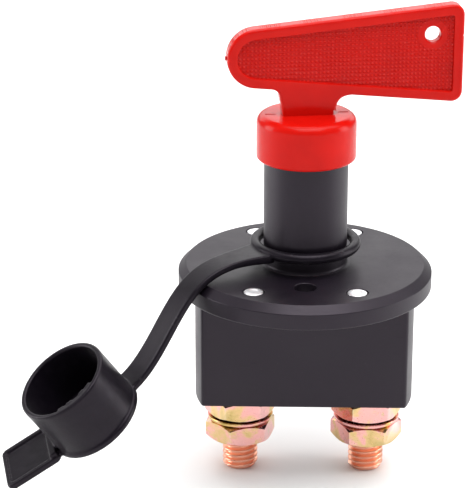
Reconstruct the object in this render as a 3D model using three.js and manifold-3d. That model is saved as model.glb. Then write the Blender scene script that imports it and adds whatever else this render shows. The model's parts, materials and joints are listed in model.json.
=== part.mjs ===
// Removable-key battery isolator switch, in millimetres, +Z up.
// The origin is on the key's axis at the panel plane, which is the underside of the round flange.
// X runs along the line of the two terminal studs, and -Y is the front.
import * as THREE from 'three';
import { mergeVertices } from 'three/addons/utils/BufferGeometryUtils.js';
import Module from 'manifold-3d';

const wasm = await Module();
wasm.setup();

// ---- driving dimensions -------------------------------------------------------------------------

// Clearances
const seatGap = 0.3; // between pieces that rest on or pass through each other
const skirtGap = 0.35; // key collar round the tube
const tetherGap = 0.8; // tether ring round the tube
const capStretch = 0.15; // the rubber cover cap stretches over the tube by this much
const collarSeatGap = 0.4; // key collar's roof above the tube's mouth
const overrun = 1; // cutters run past a face, and joined pieces run into each other, by this much

// Terminal studs and their fasteners
const studSpacing = 34.7;
const studRadius = 4.8;
const studEndChamfer = 0.9;
const studEnd = -54.2; // lowest point of the studs
const studHeadHalfLength = 7.5;
const nutAcrossFlats = 17;
const nutHeight = 5.55;
const nutChamfer = 1.3;
const nutFaceInset = 0.2;
const nutCornerBreak = 0.1;
const washerRadius = 9;
const washerThickness = 0.95;
const nutTurns = { upper_nut_left: 6.7, lower_nut_left: 14.7, upper_nut_right: 6, lower_nut_right: 0 };

// Contact chamber and the block round it
const chamberSideGap = 0.45;
const chamberEndGap = 0.75;
const chamberCornerRadius = 3;
const chamberFloor = -25.6;
const blockDepth = 32.1;
const blockEndWall = 4;
const blockSideWall = 2.25;

// Flange, base plate and tube
const flangeOverhang = 4.4;
const flangeThickness = 6.2;
const flangeChamferWidth = 2.1;
const flangeChamferHeight = 2;
const skirtWall = 1.4;
const plateThickness = 2.4;
const tubeRadius = 11.15;
const tubeWall = 3.15;
const tubeLength = 37.4;
const tubeFillet = 0.9;
const tubeMouthChamfer = 0.4;
const sealShelfWidth = 1.3;
const sealShelfHeight = 12;

// Rivets and mounting holes
const rivetEdgeDistance = 5.85;
const rivetAngle = 59.55;
const rivetHeadRadius = 2.55;
const rivetShankRadius = 1.6;
const rivetRecessDepth = 0.6;
const rivetDome = 0.25;
const rivetDomeDrop = 0.05; // edge of the dome below the flange's top
const rivetTailDepth = 1.3;
const rivetTailInset = 0.2;
const mountHoleRadius = 3;
const mountHoleMargin = 8.45;

// Key
const keyHeading = 8; // the blade stands this far round from the line of the studs when off
const collarWall = 1.7;
const collarSkirt = 8.5;
const collarRoof = 3.6;
const collarEdgeRadius = 1.3;
const keyShaftGap = 0.6;
const bladeThickness = 5;
const bladeWeb = 3;
const bladeRim = 2.7;
const bladeRise = 15.5; // collar top to the blade's centre line
const bladeEndRadius = 7.9;
const bladeEndCentre = -13.25;
const bladeFarEnd = 40.8;
const bladeCornerRadius = 2.8;
const bladeRecessCorner = 0.6;
const bladeFlare = 5.65;
const keyRingHoleRadius = 2.1;
const keyRingHoleFromEnd = 8.1;
const keyRingHoleRise = 5.1;
const neckHalfWidth = 6.4;
const neckFilletLeft = 2.8;
const neckFilletRight = 4.2;
const neckSpread = 1; // each side, from its foot to its fillet
const neckFilletLift = 0.2;
const driveBit = { length: 7.5, width: 4, depth: 8 };

// Rotor, contact carrier and springs
const thrustWasherThickness = 0.8;
const rotorShoulderWidth = 1.9; // cam beyond the rotor's neck
const rotorShoulder = 3.3;
const rotorNeckRise = 0.7; // rotor's neck above the shaft seal
const contactTravel = 3.5;
const camToothGap = 4; // degrees left free at each tooth's steep side
const pilotRadius = 3;
const pilotDepth = 9;
const carrierPlateThickness = 2;
const carrierPlateHalfLength = 11;
const contactSpringHeight = 2.7;
const contactSpringRadius = 5.4;
const contactSpringTurns = 1.6;
const springWireRadius = 0.5;
const bridgeThickness = 2;
const bridgeHalfWidth = 6;
const bridgeOverlap = 5.5;
const clipThickness = 0.6;
const clipRadius = 4.6;
const clipGrooveDepth = 0.6;
const clipMouthNarrowing = 0.6;
const toothRoot = 0.5; // carrier's teeth run this far into its plate
const stemTail = 1.1;
const returnSpringRadius = 6.4;
const returnSpringTurns = 2.4;

// Tether ring, strap and cover cap
const tetherHeading = 211;
const ringWireRadius = 1.45;
const ringHeight = 11.7;
const ringTongue = 4.6;
const strapWidth = 8.2;
const strapThickness = 1.8;
const strapRootDrop = 0.9; // strap centre below the ring's centre
const strapReach = 18.9; // flange edge to the strap's far end
const strapDrop = 23.4; // flange top to the strap's far end
const strapStart = 0.8; // past the ring's centre line
const strapLevelEnd = 6.1; // inside the flange's edge
const strapCrest = { out: 1.8, up: 3.9 }; // guide point outside the flange's edge and above its top
const strapHang = { out: 5.9, down: 5.1 }; // the same, below its top
const strapRunIn = 10; // length of the straight run into the cap's base
const strapTangentStep = 0.001;
const capElevation = 53.5;
const capWall = 1.45;
const capDepth = 16.4;
const capFloor = 2;
const capLip = 0.6;
const capLipThickness = 1.5;
const capMouthBreak = 0.44;
const tabTurn = -21.7;
const tabLength = 15;
const tabWidth = 15.2;
const tabThickness = 1.8;
const tabRim = 1.4;
const tabPanelDepth = 0.6;
const tabCornerRadius = 1.6;

// Facets of round surfaces
const largeSteps = 56;
const mediumSteps = 32;
const smallSteps = 16;
const tinySteps = 8;
const edgeSteps = 4;
const coilSteps = 14;
const wireFacets = 3;

// ---- sizes that follow from them -----------------------------------------------------------------

const radians = THREE.MathUtils.degToRad;
const sides = [['left', -1], ['right', 1]];

const keyBoreRadius = tubeRadius - tubeWall;
const neckBoreRadius = keyBoreRadius - sealShelfWidth;
const rotorNeckRadius = neckBoreRadius - seatGap;
const camRadius = rotorNeckRadius + rotorShoulderWidth;

const studOffset = studSpacing / 2;
const chamberHalfLength = studOffset + studHeadHalfLength + chamberEndGap;
const chamberHalfWidth = camRadius + chamberSideGap;
const blockRadius = chamberHalfLength + blockEndWall;
const blockHalfWidth = chamberHalfWidth + blockSideWall;
const blockBottom = -blockDepth;
const flangeRadius = blockRadius + flangeOverhang;
const recessRadius = flangeRadius - skirtWall;
const roofHeight = plateThickness + seatGap;
const plateRadius = recessRadius - seatGap;
const rivetCircle = plateRadius - rivetEdgeDistance;
const rivetX = rivetCircle * Math.cos(radians(rivetAngle));
const rivetY = rivetCircle * Math.sin(radians(rivetAngle));
const mountHoleY = blockHalfWidth + mountHoleMargin;

const tubeTop = flangeThickness + tubeLength;
const sealSectionRadius = (keyBoreRadius - rotorNeckRadius) / 2 - seatGap;
const sealRadius = (keyBoreRadius + rotorNeckRadius) / 2;
const sealHeight = sealShelfHeight + seatGap + sealSectionRadius;
const rotorTop = sealHeight + sealSectionRadius + rotorNeckRise;

const collarInner = tubeRadius + skirtGap;
const collarOuter = collarInner + collarWall;
const collarRoofUnderside = tubeTop + collarSeatGap;
const collarTop = collarRoofUnderside + collarRoof;
const collarBottom = collarRoofUnderside - collarSkirt;
const keyShaftRadius = keyBoreRadius - keyShaftGap;
const keyShaftEnd = rotorTop + seatGap;
const bladeHeight = collarTop + bladeRise;

const shoulderTop = roofHeight - thrustWasherThickness - 2 * seatGap;
const camTop = shoulderTop - rotorShoulder;
const camRise = 2 * contactTravel; // height of one tooth, which spans half a turn
const carrierTop = camTop - seatGap;
const pilotEnd = camTop - pilotDepth;
const carrierPlateTop = pilotEnd - seatGap;
const carrierBottom = carrierPlateTop - carrierPlateThickness;
const bridgeTop = carrierBottom - contactSpringHeight - 2 * seatGap;
const bridgeBottom = bridgeTop - bridgeThickness;
const clipTop = bridgeBottom - 2 * seatGap;
const clipBottom = clipTop - clipThickness;
const stemEnd = clipBottom - seatGap - stemTail;
const studHeadTop = bridgeBottom - contactTravel - seatGap;
const studHeadBottom = chamberFloor + seatGap;

const upperNutTop = blockBottom - seatGap;
const washerTop = upperNutTop - nutHeight - seatGap;
const lowerNutTop = washerTop - washerThickness - seatGap;

const ringRadius = tubeRadius + tetherGap + ringWireRadius;
const strapRootHeight = ringHeight - strapRootDrop;
const strapRootEnd = ringRadius + ringTongue;
const strapEnd = [flangeRadius + strapReach, flangeThickness - strapDrop];
const capInner = tubeRadius - capStretch;
const capOuter = capInner + capWall;
const capLipRadius = capOuter + capLip;

// ---- solids -------------------------------------------------------------------------------------

function signedVolume(geometry) {
  const points = geometry.getAttribute('position');
  const index = geometry.index;
  const corners = [new THREE.Vector3(), new THREE.Vector3(), new THREE.Vector3()];
  let volume = 0;
  for (let i = 0; i < index.count; i += 3) {
    corners.forEach((corner, k) => corner.fromBufferAttribute(points, index.getX(i + k)));
    volume += corners[0].dot(corners[1].cross(corners[2])) / 6;
  }
  return volume;
}

// The geometry with its shared vertices merged and its faces pointing out.
function closed(geometry) {
  const bare = geometry.clone();
  bare.deleteAttribute('normal');
  bare.deleteAttribute('uv');
  const merged = mergeVertices(bare, 1e-4);
  const kept = [];
  const index = merged.index.array;
  const inward = signedVolume(merged) < 0;
  for (let i = 0; i < index.length; i += 3) {
    const [a, b, c] = [index[i], index[i + 1], index[i + 2]];
    if (a === b || b === c || c === a) continue;
    kept.push(...(inward ? [a, c, b] : [a, b, c]));
  }
  merged.setIndex(kept);
  return merged;
}

function solid(geometry) {
  const mesh = closed(geometry);
  return new wasm.Manifold(new wasm.Mesh({
    numProp: 3,
    vertProperties: new Float32Array(mesh.getAttribute('position').array),
    triVerts: new Uint32Array(mesh.index.array),
  }));
}

function geometryOf(manifold) {
  const mesh = manifold.getMesh();
  const geometry = new THREE.BufferGeometry();
  geometry.setAttribute('position', new THREE.BufferAttribute(mesh.vertProperties, 3));
  geometry.setIndex(new THREE.BufferAttribute(mesh.triVerts, 1));
  return geometry;
}

function join(...geometries) {
  return geometryOf(geometries.map(solid).reduce((whole, piece) => whole.add(piece)));
}

function cut(geometry, ...tools) {
  return geometryOf(tools.map(solid).reduce((whole, tool) => whole.subtract(tool), solid(geometry)));
}

function common(a, b) {
  return geometryOf(solid(a).intersect(solid(b)));
}

// A solid of revolution about Z from [radius, height] points.
function turned(points, steps) {
  const profile = points.map(([radius, height]) => new THREE.Vector2(radius, height));
  return new THREE.LatheGeometry(profile, steps).rotateX(Math.PI / 2);
}

function disc(radius, bottom, top, steps) {
  const height = top - bottom;
  return new THREE.CylinderGeometry(radius, radius, height, steps)
    .rotateX(Math.PI / 2)
    .translate(0, 0, bottom + height / 2);
}

function washer(inner, outer, bottom, top, steps) {
  const points = [[inner, bottom], [outer, bottom], [outer, top], [inner, top], [inner, bottom]];
  return turned(points, steps);
}

function block(length, width, bottom, top) {
  const height = top - bottom;
  return new THREE.BoxGeometry(length, width, height).translate(0, 0, bottom + height / 2);
}

// A shape drawn in X and Y, raised from one height to another.
function raised(shape, bottom, top, curveSegments = tinySteps) {
  const depth = top - bottom;
  return new THREE.ExtrudeGeometry(shape, { depth, bevelEnabled: false, curveSegments })
    .translate(0, 0, bottom);
}

// A shape drawn in X and Z, with its thickness centred on the plane Y = 0.
function upright(shape, thickness, curveSegments = tinySteps) {
  return new THREE.ExtrudeGeometry(shape, { depth: thickness, bevelEnabled: false, curveSegments })
    .translate(0, 0, -thickness / 2)
    .rotateX(Math.PI / 2);
}

function arcPoints(centre, radius, from, to, steps) {
  const points = [];
  for (let i = 0; i <= steps; i += 1) {
    const angle = radians(from + ((to - from) * i) / steps);
    points.push([centre[0] + radius * Math.cos(angle), centre[1] + radius * Math.sin(angle)]);
  }
  return points;
}

function roundedRectangle(halfLength, halfWidth, corner) {
  const shape = new THREE.Shape();
  const x = halfLength - corner;
  const y = halfWidth - corner;
  shape.absarc(x, y, corner, 0, Math.PI / 2);
  shape.absarc(-x, y, corner, Math.PI / 2, Math.PI);
  shape.absarc(-x, -y, corner, Math.PI, 1.5 * Math.PI);
  shape.absarc(x, -y, corner, 1.5 * Math.PI, 2 * Math.PI);
  return shape;
}

// A box bent by a rule: place(along, across, up) with along from 0 to 1, the others from -1 to 1.
function bentBox(steps, place) {
  const geometry = new THREE.BoxGeometry(2, 1, 2, 1, steps, 1);
  const points = geometry.getAttribute('position');
  for (let i = 0; i < points.count; i += 1) {
    const spot = place(points.getY(i) + 0.5, points.getX(i), points.getZ(i));
    points.setXYZ(i, ...spot);
  }
  return geometry;
}

// An annular sector whose lower and upper faces are functions of the angle, in degrees.
function ramp(inner, outer, from, to, low, high) {
  return bentBox(smallSteps, (along, across, up) => {
    const angle = from + (to - from) * along;
    const radius = across < 0 ? inner : outer;
    const x = radius * Math.cos(radians(angle));
    const y = radius * Math.sin(radians(angle));
    return [x, y, up < 0 ? low(angle) : high(angle)];
  });
}

function coilSpring(radius, bottom, top, turns) {
  const start = bottom + springWireRadius;
  const rise = top - bottom - 2 * springWireRadius;
  class Helix extends THREE.Curve {
    getPoint(t) {
      const angle = 2 * Math.PI * turns * t;
      return new THREE.Vector3(radius * Math.cos(angle), radius * Math.sin(angle), start + rise * t);
    }
  }
  const section = new THREE.Shape();
  section.absarc(0, 0, springWireRadius, 0, 2 * Math.PI);
  return new THREE.ExtrudeGeometry(section, {
    steps: Math.round(turns * coilSteps),
    curveSegments: wireFacets,
    extrudePath: new Helix(),
  });
}

// ---- the assembly -------------------------------------------------------------------------------

const finishes = {
  housing: { color: 0x2d2a30, roughness: 0.45, metalness: 0 },
  rubber: { color: 0x26252a, roughness: 0.55, metalness: 0 },
  red: { color: 0xe02418, roughness: 0.25, metalness: 0 },
  copper: { color: 0xd8744e, roughness: 0.3, metalness: 1 },
  zinc: { color: 0xd9b98a, roughness: 0.25, metalness: 1 },
  aluminium: { color: 0xdedde0, roughness: 0.35, metalness: 1 },
  steel: { color: 0xa8aab0, roughness: 0.3, metalness: 1 },
  nylon: { color: 0xe8e4d8, roughness: 0.5, metalness: 0 },
};

function addMesh(parent, name, geometry, finish) {
  const mesh = new THREE.Mesh(closed(geometry), new THREE.MeshStandardMaterial(finishes[finish]));
  mesh.name = name;
  parent.add(mesh);
  return mesh;
}

function rivetSpots() {
  const spots = [];
  for (const [row, y] of [['front', -rivetY], ['rear', rivetY]]) {
    for (const [side, sign] of sides) spots.push({ name: `rivet_${row}_${side}`, x: sign * rivetX, y });
  }
  return spots;
}

function mountHoles() {
  return [-1, 1].map((sign) => disc(mountHoleRadius, -overrun, flangeThickness + overrun, smallSteps)
    .translate(0, sign * mountHoleY, 0));
}

// The round flange with its chamfer and underside recess, and the tube that guides the key.
function upperHousing() {
  const rimTop = flangeThickness - flangeChamferHeight;
  const filletRadius = tubeRadius + tubeFillet;
  const fillet = arcPoints([filletRadius, flangeThickness + tubeFillet], tubeFillet, 270, 180, edgeSteps);
  const body = turned([
    [neckBoreRadius, roofHeight],
    [recessRadius, roofHeight],
    [recessRadius, 0],
    [flangeRadius, 0],
    [flangeRadius, rimTop],
    [flangeRadius - flangeChamferWidth, flangeThickness],
    ...fillet,
    [tubeRadius, tubeTop - tubeMouthChamfer],
    [tubeRadius - tubeMouthChamfer, tubeTop],
    [keyBoreRadius, tubeTop],
    [keyBoreRadius, sealShelfHeight],
    [neckBoreRadius, sealShelfHeight],
    [neckBoreRadius, roofHeight],
  ], largeSteps);
  const recessFloor = flangeThickness - rivetRecessDepth;
  const headClearRadius = rivetHeadRadius + seatGap;
  const rivetCuts = rivetSpots().flatMap(({ x, y }) => [
    disc(headClearRadius, recessFloor, flangeThickness + overrun, smallSteps).translate(x, y, 0),
    disc(rivetShankRadius + seatGap, 0, flangeThickness, smallSteps).translate(x, y, 0),
  ]);
  return cut(body, ...rivetCuts, ...mountHoles());
}

// The truncated round block that holds the contacts, with the plate that rivets into the flange.
function baseBlock() {
  const round = disc(blockRadius, blockBottom, plateThickness / 2, largeSteps);
  const flats = block(2 * (blockRadius + overrun), 2 * blockHalfWidth, blockBottom, plateThickness / 2);
  const plate = disc(plateRadius, 0, plateThickness, largeSteps);
  const chamber = raised(
    roundedRectangle(chamberHalfLength, chamberHalfWidth, chamberCornerRadius),
    chamberFloor,
    plateThickness + overrun,
    edgeSteps,
  );
  const studHoles = sides.map(([, sign]) => disc(
    studRadius + seatGap,
    blockBottom - overrun,
    chamberFloor + overrun,
    smallSteps,
  ).translate(sign * studOffset, 0, 0));
  const headClearRadius = rivetHeadRadius + seatGap;
  const rivetCuts = rivetSpots().flatMap(({ x, y }) => [
    disc(headClearRadius, -overrun, rivetTailDepth, smallSteps).translate(x, y, 0),
    disc(rivetShankRadius + seatGap, 0, plateThickness + overrun, smallSteps).translate(x, y, 0),
  ]);
  return cut(join(common(round, flats), plate), chamber, ...studHoles, ...rivetCuts, ...mountHoles());
}

function rivet() {
  const headSeat = flangeThickness - rivetRecessDepth + seatGap;
  const tailSeat = rivetTailDepth - seatGap;
  const domeBase = flangeThickness - rivetDomeDrop;
  const crown = arcPoints([0, 0], 1, 0, 90, edgeSteps).map(([x, y]) => [
    rivetHeadRadius * x,
    domeBase + rivetDome * y,
  ]);
  return turned([
    [0, rivetTailInset],
    [rivetHeadRadius, rivetTailInset],
    [rivetHeadRadius, tailSeat],
    [rivetShankRadius, tailSeat],
    [rivetShankRadius, headSeat],
    [rivetHeadRadius, headSeat],
    ...crown.slice(0, -1),
    [0, domeBase + rivetDome],
  ], smallSteps);
}

// A square head that the chamber keeps from turning, and a round shank with a chamfered end.
function terminalStud() {
  const outline = roundedRectangle(
    studHeadHalfLength,
    chamberHalfWidth - seatGap,
    chamberCornerRadius,
  );
  const head = raised(outline, studHeadBottom, studHeadTop, edgeSteps);
  const shank = turned([
    [0, studEnd],
    [studRadius - studEndChamfer, studEnd],
    [studRadius, studEnd + studEndChamfer],
    [studRadius, studHeadBottom + overrun],
    [0, studHeadBottom + overrun],
  ], smallSteps);
  return join(head, shank);
}

function hexNut(top) {
  const bottom = top - nutHeight;
  const cornerRadius = nutAcrossFlats / Math.sqrt(3);
  const shape = new THREE.Shape();
  for (let i = 0; i < 6; i += 1) {
    const angle = radians(60 * i);
    shape[i ? 'lineTo' : 'moveTo'](cornerRadius * Math.cos(angle), cornerRadius * Math.sin(angle));
  }
  shape.closePath();
  const faceRadius = nutAcrossFlats / 2 - nutFaceInset;
  const cornerCut = cornerRadius + nutCornerBreak;
  const rounded = turned([
    [0, bottom],
    [faceRadius, bottom],
    [cornerCut, bottom + nutChamfer],
    [cornerCut, top - nutChamfer],
    [faceRadius, top],
    [0, top],
  ], mediumSteps);
  const hole = disc(studRadius + seatGap, bottom - overrun, top + overrun, smallSteps);
  return cut(common(raised(shape, bottom, top), rounded), hole);
}

function addTerminal(parent, side, sign) {
  const terminal = new THREE.Group();
  terminal.position.x = sign * studOffset;
  parent.add(terminal);
  addMesh(terminal, `terminal_stud_${side}`, terminalStud(), 'copper');
  const hole = studRadius + seatGap;
  const washerShape = washer(hole, washerRadius, washerTop - washerThickness, washerTop, mediumSteps);
  addMesh(terminal, `terminal_washer_${side}`, washerShape, 'zinc');
  for (const [name, top] of [[`upper_nut_${side}`, upperNutTop], [`lower_nut_${side}`, lowerNutTop]]) {
    const nut = addMesh(terminal, name, hexNut(top), 'zinc');
    nut.rotation.z = radians(nutTurns[name]);
  }
}

// Half the blade's height at a place along it, without its rounded corners.
function bladeHalfHeight(x) {
  const flare = radians(bladeFlare);
  return (x - bladeEndCentre) * Math.tan(flare) + bladeEndRadius / Math.cos(flare);
}

// The blade's fish-tail outline: a round small end, flaring sides and two rounded corners.
function bladeOutline(inset) {
  const flare = radians(bladeFlare);
  const quarter = Math.PI / 2;
  const endRadius = bladeEndRadius - inset;
  const corner = Math.max(bladeCornerRadius - inset, bladeRecessCorner);
  const cornerX = bladeFarEnd - inset - corner;
  const cornerY = (cornerX - bladeEndCentre) * Math.tan(flare) + (endRadius - corner) / Math.cos(flare);
  const shape = new THREE.Shape();
  shape.absarc(bladeEndCentre, bladeHeight, endRadius, -quarter - flare, quarter + flare, true);
  shape.absarc(cornerX, bladeHeight + cornerY, corner, quarter + flare, 0, true);
  shape.absarc(cornerX, bladeHeight - cornerY, corner, 0, -quarter - flare, true);
  return shape;
}

// The web between collar and blade, with a small fillet on the short side and a large one opposite.
function keyNeck() {
  const foot = collarTop - collarRoof / 2;
  const left = -neckHalfWidth - neckSpread;
  const right = neckHalfWidth + neckSpread;
  const leftEdge = bladeHeight - bladeHalfHeight(left - neckFilletLeft);
  const rightEdge = bladeHeight - bladeHalfHeight(right + neckFilletRight);
  const shape = new THREE.Shape();
  shape.moveTo(-neckHalfWidth, foot);
  shape.lineTo(left, leftEdge - neckFilletLeft);
  shape.quadraticCurveTo(left, leftEdge, left - neckFilletLeft, leftEdge + neckFilletLift);
  shape.lineTo(left, leftEdge + bladeRim);
  shape.lineTo(right, rightEdge + bladeRim);
  shape.lineTo(right + neckFilletRight, rightEdge + neckFilletLift);
  shape.quadraticCurveTo(right, rightEdge, right, rightEdge - neckFilletRight);
  shape.lineTo(neckHalfWidth, foot);
  shape.closePath();
  return upright(shape, bladeThickness);
}

function keyBlade() {
  const plate = upright(bladeOutline(0), bladeThickness);
  const recessDepth = (bladeThickness - bladeWeb) / 2;
  const recesses = [-1, 1].map((side) => upright(bladeOutline(bladeRim), 2 * recessDepth)
    .translate(0, (side * bladeThickness) / 2, 0));
  const hole = disc(keyRingHoleRadius, -bladeThickness, bladeThickness, smallSteps)
    .rotateX(Math.PI / 2)
    .translate(bladeFarEnd - keyRingHoleFromEnd, 0, bladeHeight + keyRingHoleRise);
  return cut(plate, ...recesses, hole);
}

function keyCollar() {
  const edge = arcPoints(
    [collarOuter - collarEdgeRadius, collarTop - collarEdgeRadius],
    collarEdgeRadius,
    0,
    90,
    edgeSteps,
  );
  return turned([
    [0, collarRoofUnderside],
    [collarInner, collarRoofUnderside],
    [collarInner, collarBottom],
    [collarOuter, collarBottom],
    ...edge,
    [0, collarTop],
  ], mediumSteps);
}

// Blade, neck, collar, shaft and drive bit, moulded in one.
function key() {
  const shaft = disc(keyShaftRadius, keyShaftEnd, collarRoofUnderside + overrun, mediumSteps);
  const bitEnd = keyShaftEnd - driveBit.depth;
  const bit = block(driveBit.length, driveBit.width, bitEnd, keyShaftEnd + overrun);
  return join(keyCollar(), keyNeck(), keyBlade(), shaft, bit);
}

// The rotor: a neck with the drive socket, a shoulder under the housing and two helical teeth below.
function camRotor() {
  const body = turned([
    [0, pilotEnd],
    [pilotRadius, pilotEnd],
    [pilotRadius, camTop],
    [camRadius, camTop],
    [camRadius, shoulderTop],
    [rotorNeckRadius, shoulderTop],
    [rotorNeckRadius, rotorTop],
    [0, rotorTop],
  ], mediumSteps);
  const socketFloor = keyShaftEnd - driveBit.depth - seatGap;
  const socketLength = driveBit.length + 2 * seatGap;
  const socketWidth = driveBit.width + 2 * seatGap;
  const socket = block(socketLength, socketWidth, socketFloor, rotorTop + overrun);
  const teeth = [0, 180].map((from) => ramp(
    pilotRadius + seatGap,
    camRadius,
    from,
    from + 180 - camToothGap,
    (angle) => camTop - (camRise * (angle - from)) / 180,
    () => camTop + overrun,
  ));
  return cut(join(body, ...teeth), socket);
}

// The contact carrier: two helical teeth that the rotor's teeth press on, a plate and a stem.
function contactCarrier() {
  const teeth = [0, 180].map((from) => ramp(
    pilotRadius + seatGap,
    camRadius,
    from,
    from + 180,
    () => carrierPlateTop - toothRoot,
    (angle) => carrierTop - (camRise * (angle - from)) / 180,
  ).rotateZ(radians(keyHeading)));
  const plateHalfWidth = chamberHalfWidth - seatGap;
  const plate = block(2 * carrierPlateHalfLength, 2 * plateHalfWidth, carrierBottom, carrierPlateTop);
  const stem = disc(pilotRadius, stemEnd, carrierBottom + overrun, smallSteps);
  const grooveRadius = pilotRadius - clipGrooveDepth;
  const groove = washer(
    grooveRadius,
    pilotRadius + overrun,
    clipBottom - seatGap,
    clipTop + seatGap,
    smallSteps,
  );
  return cut(join(plate, ...teeth, stem), groove);
}

function contactBridge() {
  const bar = block(2 * (studOffset + bridgeOverlap), 2 * bridgeHalfWidth, bridgeBottom, bridgeTop);
  const hole = disc(pilotRadius + seatGap, bridgeBottom - overrun, bridgeTop + overrun, smallSteps);
  return cut(bar, hole);
}

function stemClip() {
  const bore = pilotRadius - clipGrooveDepth + seatGap;
  const ring = washer(bore, clipRadius, clipBottom, clipTop, smallSteps);
  const reach = clipRadius + overrun;
  const mouthWidth = 2 * bore - clipMouthNarrowing;
  const mouth = block(mouthWidth, reach, clipBottom - overrun, clipTop + overrun)
    .translate(0, reach / 2, 0);
  return cut(ring, mouth);
}

function addSwitchgear(parent) {
  const keyed = new THREE.Group();
  keyed.rotation.z = radians(keyHeading);
  parent.add(keyed);
  addMesh(keyed, 'key', key(), 'red');
  addMesh(keyed, 'cam_rotor', camRotor(), 'nylon');
  const washerBottom = shoulderTop + seatGap;
  const washerInner = rotorNeckRadius + seatGap;
  const thrustWasher = washer(washerInner, camRadius, washerBottom, roofHeight - seatGap, mediumSteps);
  addMesh(parent, 'thrust_washer', thrustWasher, 'steel');
  const seal = new THREE.TorusGeometry(sealRadius, sealSectionRadius, tinySteps, smallSteps);
  addMesh(parent, 'shaft_seal', seal.translate(0, 0, sealHeight), 'rubber');
  addMesh(parent, 'contact_carrier', contactCarrier(), 'nylon');
  const contactSpring = coilSpring(
    contactSpringRadius,
    bridgeTop + seatGap,
    carrierBottom - seatGap,
    contactSpringTurns,
  );
  addMesh(parent, 'contact_spring', contactSpring, 'steel');
  addMesh(parent, 'contact_bridge', contactBridge(), 'copper');
  addMesh(parent, 'stem_clip', stemClip(), 'steel');
  const returnSpring = coilSpring(
    returnSpringRadius,
    chamberFloor + seatGap,
    bridgeBottom - seatGap,
    returnSpringTurns,
  );
  addMesh(parent, 'return_spring', returnSpring, 'steel');
}

// The strap's centre line in [distance from the axis, height]: level off the ring, over the flange's
// edge, then down to run straight into the cover cap's base.
function strapLine() {
  const slope = radians(90 - capElevation);
  const [endX, endZ] = strapEnd;
  const control = [
    [ringRadius + strapStart, strapRootHeight],
    [flangeRadius - strapLevelEnd, strapRootHeight],
    [flangeRadius + strapCrest.out, flangeThickness + strapCrest.up],
    [flangeRadius + strapHang.out, flangeThickness - strapHang.down],
    [endX - strapRunIn * Math.cos(slope), endZ + strapRunIn * Math.sin(slope)],
    [endX, endZ],
  ];
  const choose = [1, 5, 10, 10, 5, 1];
  return (t) => [0, 1].map((axis) => control.reduce(
    (sum, point, i) => sum + choose[i] * (1 - t) ** (5 - i) * t ** i * point[axis],
    0,
  ));
}

// The strap from one point of its line to another, as a bent flat bar.
function strapPiece(from, to, steps) {
  const line = strapLine();
  return bentBox(steps, (along, across, up) => {
    const t = from + (to - from) * along;
    const [x, z] = line(t);
    const [x0, z0] = line(t - strapTangentStep);
    const [x1, z1] = line(t + strapTangentStep);
    const length = Math.hypot(x1 - x0, z1 - z0);
    const lift = (up * strapThickness) / 2;
    const shiftX = (-(z1 - z0) / length) * lift;
    const shiftZ = ((x1 - x0) / length) * lift;
    return [x + shiftX, (across * strapWidth) / 2, z + shiftZ];
  });
}

// Where along its line the strap reaches a distance from the axis.
function strapParameter(distance) {
  const line = strapLine();
  let low = 0;
  let high = 1;
  while (high - low > 1e-5) {
    const middle = (low + high) / 2;
    if (line(middle)[0] < distance) low = middle;
    else high = middle;
  }
  return low;
}

function tetherRing() {
  const ring = new THREE.TorusGeometry(ringRadius, ringWireRadius, tinySteps, mediumSteps)
    .translate(0, 0, ringHeight);
  const tongue = strapPiece(0, strapParameter(strapRootEnd), edgeSteps);
  return join(ring, tongue);
}

function coverCap() {
  const cup = turned([
    [0, 0],
    [capLipRadius, 0],
    [capLipRadius, capLipThickness],
    [capOuter, capLipThickness],
    [capOuter, capDepth - capMouthBreak],
    [capOuter - capMouthBreak, capDepth],
    [capInner, capDepth],
    [capInner, capFloor],
    [0, capFloor],
  ], mediumSteps);
  const tabStart = capInner;
  const tabHalfLength = (capLipRadius + tabLength - tabStart) / 2;
  const outline = roundedRectangle(tabHalfLength, tabWidth / 2, tabCornerRadius);
  const tab = raised(outline, 0, tabThickness, edgeSteps).translate(tabStart + tabHalfLength, 0, 0);
  const panelStart = capLipRadius + tabRim;
  const panelHalfLength = (tabLength - 2 * tabRim) / 2;
  const panelOutline = roundedRectangle(panelHalfLength, tabWidth / 2 - tabRim, tabCornerRadius / 2);
  const panel = raised(panelOutline, tabThickness - tabPanelDepth, tabThickness + overrun, edgeSteps)
    .translate(panelStart + panelHalfLength, 0, 0);
  const turn = radians(tabTurn);
  return join(cup, cut(tab, panel).rotateZ(turn));
}

function addTether(parent) {
  const tether = new THREE.Group();
  tether.rotation.z = radians(tetherHeading);
  parent.add(tether);
  addMesh(tether, 'tether_ring', tetherRing(), 'rubber');
  const from = strapParameter(strapRootEnd + seatGap);
  const slope = radians(90 - capElevation);
  const to = strapParameter(strapEnd[0] - seatGap * Math.cos(slope));
  addMesh(tether, 'tether_strap', strapPiece(from, to, smallSteps), 'rubber');
  const cap = new THREE.Group();
  const [endX, endZ] = strapEnd;
  const reach = capLipRadius + seatGap;
  const baseDrop = strapThickness / 2;
  cap.position.set(
    endX + reach * Math.cos(slope) - baseDrop * Math.sin(slope),
    0,
    endZ - reach * Math.sin(slope) - baseDrop * Math.cos(slope),
  );
  cap.rotation.y = slope;
  tether.add(cap);
  addMesh(cap, 'cover_cap', coverCap(), 'rubber');
}

const batterySwitch = new THREE.Group();
addMesh(batterySwitch, 'upper_housing', upperHousing(), 'housing');
addMesh(batterySwitch, 'base_block', baseBlock(), 'housing');
for (const { name, x, y } of rivetSpots()) {
  addMesh(batterySwitch, name, rivet(), 'aluminium').position.set(x, y, 0);
}
for (const [side, sign] of sides) addTerminal(batterySwitch, side, sign);
addSwitchgear(batterySwitch);
addTether(batterySwitch);

export default batterySwitch;
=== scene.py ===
"""Battery switch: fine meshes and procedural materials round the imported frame. Helpers take millimetres."""
import json
import math

import bmesh
import bpy
from mathutils import Matrix, Vector


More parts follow.
